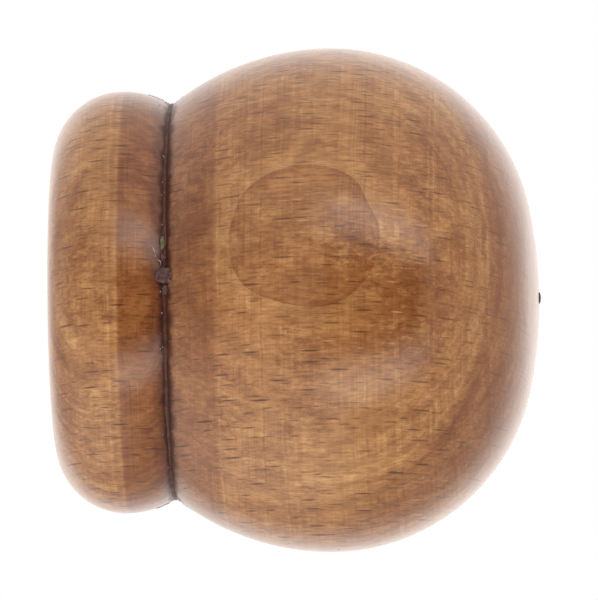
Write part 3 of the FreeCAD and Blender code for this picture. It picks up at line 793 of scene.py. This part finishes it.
beadLook = {
    "seed": 7,
    "width": 0.21,                           # half sizes, mm
    "swell": 0.10,
    "thinnest": 0.08,
    "flatness": 0.55,
    "rise": 0.02,
    "stray": 0.05,
    "swellWaves": (3, 7, 13, 22, 41, 67),    # waves round the turning
    "strayWaves": (2, 5, 11, 19),
    "slices": 540,
    "sides": 12,
    "finish": {"name": "pooledLacquer", "dark": colour(0.066, 0.018, 0.009),
               "light": colour(0.135, 0.052, 0.030), "grain": 1300.0, "roughness": 0.55, "coat": 0.15},
}


def roundWobble(shuffle, waves):
    # a smooth wander round the turning, between about -1 and 1
    parts = [(n, shuffle.uniform(0, 2 * math.pi), shuffle.uniform(0.4, 1.0)) for n in waves]
    total = sum(strength for n, phase, strength in parts)
    scale = 1.6 / total
    return lambda angle: sum(strength * math.sin(n * angle + phase) for n, phase, strength in parts) * scale


def makeGrooveBead():
    look = beadLook
    shuffle = random.Random(look["seed"])
    swell = roundWobble(shuffle, look["swellWaves"])
    stray = roundWobble(shuffle, look["strayWaves"])
    mesh = bmesh.new()
    rings = []
    centreR = grooveShape["bottom"] + look["rise"]
    for i in range(look["slices"]):
        angle = 2 * math.pi * i / look["slices"]
        tube = max(look["thinnest"], look["width"] + look["swell"] * swell(angle))
        centreX = grooveShape["centre"] + look["stray"] * stray(angle)
        ring = []
        for j in range(look["sides"]):
            side = 2 * math.pi * j / look["sides"]
            x = centreX + tube * math.cos(side)
            r = centreR + tube * look["flatness"] * math.sin(side)
            ring.append(mesh.verts.new((x * mm, -r * math.cos(angle) * mm, r * math.sin(angle) * mm)))
        rings.append(ring)
    for near, far in zip(rings, rings[1:] + rings[:1]):
        closeLoop(mesh, near, far)
    finishPiece(mesh, "grooveLacquer", roughGrain(**look["finish"]))


lumpLook = {
    "seed": 8,
    "blobs": [                               # along the axis, clock, rise; half sizes along, round, out; skin
        ((13.00, 7.4, 0.42), (0.98, 0.82, 0.42), "drip"),
        ((12.75, 17.0, 0.10), (0.22, 0.72, 0.22), "filler"),
        ((12.86, 12.6, 0.05), (0.30, 0.42, 0.30), "drip"),
        ((13.00, 3.4, 0.05), (0.34, 0.60, 0.28), "drip"),
        # thin dark ridges at the groove's top and bottom limbs: their dark colour is a painted reflection
        ((11.20, 90.6, 0.0), (0.85, 0.55, 0.045), "ridge"),
        ((14.05, 90.4, 0.0), (0.55, 0.50, 0.045), "ridge"),
        ((11.45, -89.5, 0.0), (0.80, 0.55, 0.045), "ridge"),
        ((14.10, -89.8, 0.0), (0.50, 0.45, 0.045), "ridge"),
    ],
    "inGroove": 0.6,                         # this near to the groove's centre, a lump stands straight out
    "detail": 4,
    "roughness": 0.42,
    "skins": {
        # dark ridges: a painted reflection at the groove's limbs
        "ridge": {"name": "ridgeLacquerAndReflection", "dark": colour(0.080, 0.027, 0.014),
                  "light": colour(0.150, 0.058, 0.030), "grain": 1500.0, "roughness": 0.5, "coat": 0.3},
        "drip": {"name": "dripLacquer", "dark": colour(0.085, 0.024, 0.019),
                 "light": colour(0.165, 0.080, 0.066), "grain": 1500.0, "roughness": 0.45, "coat": 0.5},
        "filler": {"name": "greyFiller", "dark": colour(0.13, 0.105, 0.065),
                   "light": colour(0.27, 0.235, 0.15), "grain": 2500.0, "roughness": 0.6, "coat": 0.3},
    },
}


def makeLumps():
    look = lumpLook
    shuffle = random.Random(look["seed"])
    skins = {skin: roughGrain(**finish) for skin, finish in look["skins"].items()}
    for i, ((x, clock, rise), sizes, skin) in enumerate(look["blobs"], start=1):
        mesh = bmesh.new()
        point, normal = skinPoint(x, clock)
        if abs(x - grooveShape["centre"]) < look["inGroove"]:
            normal = Vector((0, point.y, point.z)).normalized()
        addLump(mesh, point + normal * rise * mm, normal, sizes, look["detail"], look["roughness"], shuffle)
        finishPiece(mesh, f"{skin}Lump{i}", skins[skin])


splinterLook = {
    "torn": [                                # start, end, bow round the turning in degrees, thickness
        ((11.25, 15.7), (12.05, 12.6), 0.9, 0.075),
        ((12.55, 46.8), (12.75, 44.2), 0.5, 0.055),
        ((12.20, 12.0), (12.60, 10.2), 0.4, 0.060),
        ((14.30, -64.0), (14.70, -59.5), -0.8, 0.080),
        ((12.60, 118.0), (12.10, 123.0), 0.6, 0.060),
        ((14.10, 236.0), (14.60, 240.5), -0.7, 0.070),
    ],
    "bowAlong": 0.12,                        # mm
    "tipSize": 0.004,
    "steps": 14,
    "sides": 8,
    # pale torn fibre, its light colour partly a painted highlight on the lifted edges
    "finish": {"name": "tornFibreAndHighlight", "dark": colour(0.34, 0.21, 0.13),
               "light": colour(0.66, 0.50, 0.38), "grain": 3000.0, "roughness": 0.5, "coat": 0.5},
}


def makeSplinters():
    look = splinterLook
    steps, sides = look["steps"], look["sides"]
    mesh = bmesh.new()
    for start, end, bow, thick in look["torn"]:
        spine = []
        for i in range(steps + 1):
            t = i / steps
            belly = math.sin(math.pi * t)
            x = start[0] + (end[0] - start[0]) * t + look["bowAlong"] * belly
            clock = start[1] + (end[1] - start[1]) * t + bow * belly
            point, normal = skinPoint(x, clock, thick * 0.5 * belly)
            spine.append((point, normal, max(thick * belly ** 0.7, look["tipSize"])))
        loops = []
        for i, (point, normal, size) in enumerate(spine):
            ahead = (spine[min(i + 1, steps)][0] - spine[max(i - 1, 0)][0]).normalized()
            side = normal.cross(ahead).normalized()
            loop = []
            for j in range(sides):
                angle = 2 * math.pi * j / sides
                outward = side * math.cos(angle) + normal * math.sin(angle)
                loop.append(mesh.verts.new(point + outward * size * mm))
            loops.append(loop)
        for near, far in zip(loops, loops[1:]):
            closeLoop(mesh, near, far)
        mesh.faces.new(loops[0])
        mesh.faces.new(loops[-1])
    finishPiece(mesh, "splinters", roughGrain(**look["finish"]))


nibLook = {
    "seed": 9,
    "placed": [                              # along the axis and clock
        (39.0, 7.4), (24.9, -35.0), (34.1, -65.5), (41.9, -62.0), (9.5, -47.0), (12.3, 7.2), (38.6, 10.3),
    ],
    "scattered": 34,
    "reach": (3, 50),                        # along the axis, mm
    "size": (0.035, 0.085),
    "shape": (1.3, 1, 0.75),
    "roughness": 0.25,
    "detail": 2,
    "finish": {"name": "lacquerNib", "dark": colour(0.36, 0.20, 0.12),
               "light": colour(0.60, 0.42, 0.30), "grain": 6000.0, "roughness": 0.3, "coat": 1.0},
}

dustLook = {                                 # all round the groove, and more on its flanks at top and bottom, where the pale crumbs are partly a painted highlight
    "crumbs": 90,
    "size": (0.025, 0.075),
    "spread": (0, 0.42),                     # from the groove's centre, mm: middle and spread
    "length": (0.8, 1.8),
    "endCrumbsAndHighlight": 44,
    "endSize": (0.035, 0.085),
    "endSpread": (0.1, 0.9),
    "endLength": (0.8, 1.6),
    "endHeight": 0.6,
    "endClock": (84, 94),
    "roughness": 0.5,
    "detail": 2,
    "finish": {"name": "paleDustAndHighlight", "dark": colour(0.26, 0.21, 0.18),
               "light": colour(0.60, 0.54, 0.50), "grain": 6000.0, "roughness": 0.6},
}


def makeNibs(shuffle):
    look = nibLook
    mesh = bmesh.new()
    places = look["placed"] + [(shuffle.uniform(*look["reach"]), shuffle.uniform(0, 360))
                               for i in range(look["scattered"])]
    for place in places:
        point, normal = skinPoint(*place)
        size = shuffle.uniform(*look["size"])
        sizes = [size * share for share in look["shape"]]
        addLump(mesh, point, normal, sizes, look["detail"], look["roughness"], shuffle)
    finishPiece(mesh, "lacquerNibs", roughGrain(**look["finish"]))


def makeDust(shuffle):
    look = dustLook
    mesh = bmesh.new()
    for i in range(look["crumbs"]):
        x = grooveShape["centre"] + shuffle.gauss(*look["spread"])
        point, normal = skinPoint(x, shuffle.uniform(0, 360))
        size = shuffle.uniform(*look["size"])
        sizes = (size, size * shuffle.uniform(*look["length"]), size)
        addLump(mesh, point, normal, sizes, look["detail"], look["roughness"], shuffle)
    for i in range(look["endCrumbsAndHighlight"]):
        clock = shuffle.choice((-1, 1)) * shuffle.uniform(*look["endClock"])
        point, normal = skinPoint(grooveShape["centre"] + shuffle.gauss(*look["endSpread"]), clock)
        size = shuffle.uniform(*look["endSize"])
        sizes = (size, size * shuffle.uniform(*look["endLength"]), size * look["endHeight"])
        addLump(mesh, point, normal, sizes, look["detail"], look["roughness"], shuffle)
    finishPiece(mesh, "grooveDustAndHighlight", roughGrain(**look["finish"]))


makeGrooveBead()
makeLumps()
makeSplinters()
nibShuffle = random.Random(nibLook["seed"])
makeNibs(nibShuffle)
makeDust(nibShuffle)
print("groove lacquer, splinters and dust made")


# the metal parts keep the design's shapes; lathe lines run round the screw's own axis

metalLook = {
    "screw_insert": {
        "name": "machinedBrass",
        "base": colour(0.74, 0.51, 0.21),
        "worn": colour(0.40, 0.24, 0.09),
        "roughness": (0.20, 0.38),
        "faceLines": 7.0,                    # lines per mm, about
        "sideLines": 5.0,
    },
    "lock_screw": {
        "name": "zincedSteel",
        "base": colour(0.60, 0.62, 0.66),
        "worn": colour(0.27, 0.27, 0.29),
        "roughness": (0.26, 0.46),
        "faceLines": 9.0,
        "sideLines": 8.0,
    },
}


def metal(node, look):
    material, tree = newMaterial(look["name"])
    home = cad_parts[node].matrix_world.inverted()
    axisPoint = home @ Vector((turningShape["cornerArc"] * mm, 0, 0))
    axisWay = tuple(home.to_3x3() @ Vector(towardsWall))
    place = addNode(tree, "ShaderNodeTexCoord")
    point = toMillimetres(tree, shift(tree, place.outputs["Object"], tuple(-axisPoint)))
    depth = dot(tree, point, axisWay)
    length = vectorCalc(tree, "LENGTH", point)
    squared = calc(tree, "SUBTRACT", product(tree, length, length), product(tree, depth, depth))
    reach = calc(tree, "SQRT", squared)
    facing = fade(tree, calc(tree, "ABSOLUTE", dot(tree, place.outputs["Normal"], axisWay)), 0.5, 0.9)
    onSide = lineNoise(tree, depth, look["sideLines"])
    onFace = lineNoise(tree, reach, look["faceLines"])
    lines = addNode(tree, "ShaderNodeMix", {0: facing, 2: onSide, 3: onFace}, data_type="FLOAT").outputs[0]
    grime = noise(tree, point, 0.9, 3.0, 0.6)
    scuffs = noise(tree, point, 5.0, 3.0, 0.7)
    dull = product(tree, fade(tree, grime, 0.42, 0.72), fade(tree, scuffs, 0.35, 0.65, 0.45, 1.0))
    shade = tint(tree, dull, look["base"], look["worn"])
    shade = tint(tree, 1.0, shade, grey(tree, fade(tree, lines, 0.25, 0.75, 0.82, 1.10)), "MULTIPLY")
    setSurface(tree, {
        "Base Color": shade,
        "Metallic": 1.0,
        "Roughness": fade(tree, calc(tree, "MULTIPLY_ADD", dull, 0.5, lines), 0.3, 1.0, *look["roughness"]),
        "Normal": bumps(tree, calc(tree, "MULTIPLY_ADD", scuffs, 0.3, lines), 0.25, 0.00003),
    })
    return material


for node, look in metalLook.items():
    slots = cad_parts[node].data.materials
    slots.clear()
    slots.append(metal(node, look))
print("metal finishes set")


# studio: pale floor, a white surround with soft glows and two long soft lights, and a long lens

studio = {
    "floorDrop": 0.040,
    "floorRadius": 0.19,
    "floorSides": 96,
    "floorColour": colour(0.86, 0.86, 0.85),
    "fill": 0.42,
    "glows": [                               # direction, where each begins and is full, strength
        ((0.0, 1.0, 0.0), 0.55, 0.99, 0.74),
        ((0.42, 0.91, 0.0), 0.78, 0.98, 0.22),
        ((-0.90, 0.43, 0.0), 0.55, 0.95, 0.35),
        ((0.0, 0.0, 1.0), 0.20, 0.90, 0.38),
        ((1.0, 0.0, 0.0), 0.50, 0.95, 0.15),
        ((-0.50, -0.30, -0.81), 0.58, 0.97, 0.80),
    ],
    "strips": [(0.87, 0.95, 1.95), (-0.85, 0.58, 1.95)],   # height, where along it is brightest, strength
    "stripDepth": (0.44, 0.12),
    "stripReach": (1.9, 0.45),
    "stripStart": (-0.35, 0.2),
    "darkWindow": {"left": (-0.14, 0.10), "right": (1.75, 1.35), "height": (0.47, 0.33)},
    "cameraDistance": 1.093,
    "cameraTurn": 2.15,                      # degrees towards the ball's end
    "cameraRoll": 0.63,
    "sensorWidth": 36,
    "nearClip": 0.01,
    "frameWidth": 0.06536,
    "aimX": 0.02657,
    "aimZ": 0.00006,
}


def makeFloor():
    mesh = bmesh.new()
    bmesh.ops.create_circle(mesh, cap_ends=True, segments=studio["floorSides"], radius=studio["floorRadius"])
    data = bpy.data.meshes.new("floor")
    mesh.to_mesh(data)
    mesh.free()
    floor = bpy.data.objects.new("floor", data)
    floor.location = (studio["aimX"], 0, -studio["floorDrop"])
    bpy.context.scene.collection.objects.link(floor)
    material, tree = newMaterial("paleFloor")
    setSurface(tree, {"Base Color": studio["floorColour"], "Roughness": 0.9, "Specular IOR Level": 0.1})
    data.materials.append(material)
    # the floor takes the finial's shade but doesn't light it, so that the surround alone sets its gloss
    floor.visible_diffuse = False
    floor.visible_glossy = False
    floor.visible_shadow = False


def makeSurround():
    world = bpy.data.worlds.new("whiteSurround")
    bpy.context.scene.world = world
    world.use_nodes = True
    tree = world.node_tree
    tree.nodes.clear()
    way = vectorCalc(tree, "NORMALIZE", addNode(tree, "ShaderNodeTexCoord").outputs["Generated"])
    level = studio["fill"]
    for aim, begins, full, strength in studio["glows"]:
        glow = fade(tree, dot(tree, way, Vector(aim).normalized()), begins, full)
        level = calc(tree, "MULTIPLY_ADD", glow, strength, level)

    # on a wall in front of the finial: a dark opening, with a long soft light above it and one below
    parts = addNode(tree, "ShaderNodeSeparateXYZ", {0: way})
    depth = calc(tree, "MAXIMUM", calc(tree, "MULTIPLY", parts.outputs[1], -1.0), 0.02)
    across = calc(tree, "DIVIDE", parts.outputs[0], depth)
    height = calc(tree, "DIVIDE", parts.outputs[2], depth)
    window = studio["darkWindow"]
    opening = product(tree, fade(tree, across, *window["left"]), fade(tree, across, *window["right"]),
                      fade(tree, calc(tree, "ABSOLUTE", height), *window["height"]))
    level = calc(tree, "MULTIPLY", level, calc(tree, "SUBTRACT", 1.0, opening))
    for stripHeight, brightest, strength in studio["strips"]:
        offHeight = calc(tree, "ABSOLUTE", calc(tree, "SUBTRACT", height, stripHeight))
        offPlace = calc(tree, "ABSOLUTE", calc(tree, "SUBTRACT", across, brightest))
        glow = product(tree, fade(tree, offHeight, *studio["stripDepth"]),
                       fade(tree, offPlace, *studio["stripReach"]), fade(tree, across, *studio["stripStart"]))
        level = calc(tree, "MULTIPLY_ADD", glow, strength, level)
    seen = addNode(tree, "ShaderNodeLightPath").outputs["Is Camera Ray"]
    shown = addNode(tree, "ShaderNodeMix", {0: seen, 2: level, 3: 1.0}, data_type="FLOAT").outputs[0]
    background = addNode(tree, "ShaderNodeBackground", {"Color": colour(1, 1, 1), "Strength": shown})
    addNode(tree, "ShaderNodeOutputWorld", {"Surface": background.outputs[0]})


def makeCamera():
    data = bpy.data.cameras.new("camera")
    camera = bpy.data.objects.new("camera", data)
    bpy.context.scene.collection.objects.link(camera)
    data.sensor_fit = "HORIZONTAL"
    data.sensor_width = studio["sensorWidth"]
    data.lens = studio["sensorWidth"] * studio["cameraDistance"] / studio["frameWidth"]
    data.clip_start = studio["nearClip"]
    turn = math.radians(studio["cameraTurn"])
    aim = Vector((studio["aimX"], 0, studio["aimZ"]))
    away = Vector((math.sin(turn), -math.cos(turn), 0))
    camera.location = aim + away * studio["cameraDistance"]
    roll = Quaternion((0, 0, 1), math.radians(-studio["cameraRoll"]))
    camera.rotation_mode = "QUATERNION"
    camera.rotation_quaternion = (-away).to_track_quat("-Z", "Y") @ roll
    bpy.context.scene.camera = camera


makeFloor()
makeSurround()
makeCamera()
bpy.context.scene.view_settings.view_transform = "Standard"
print("studio made")
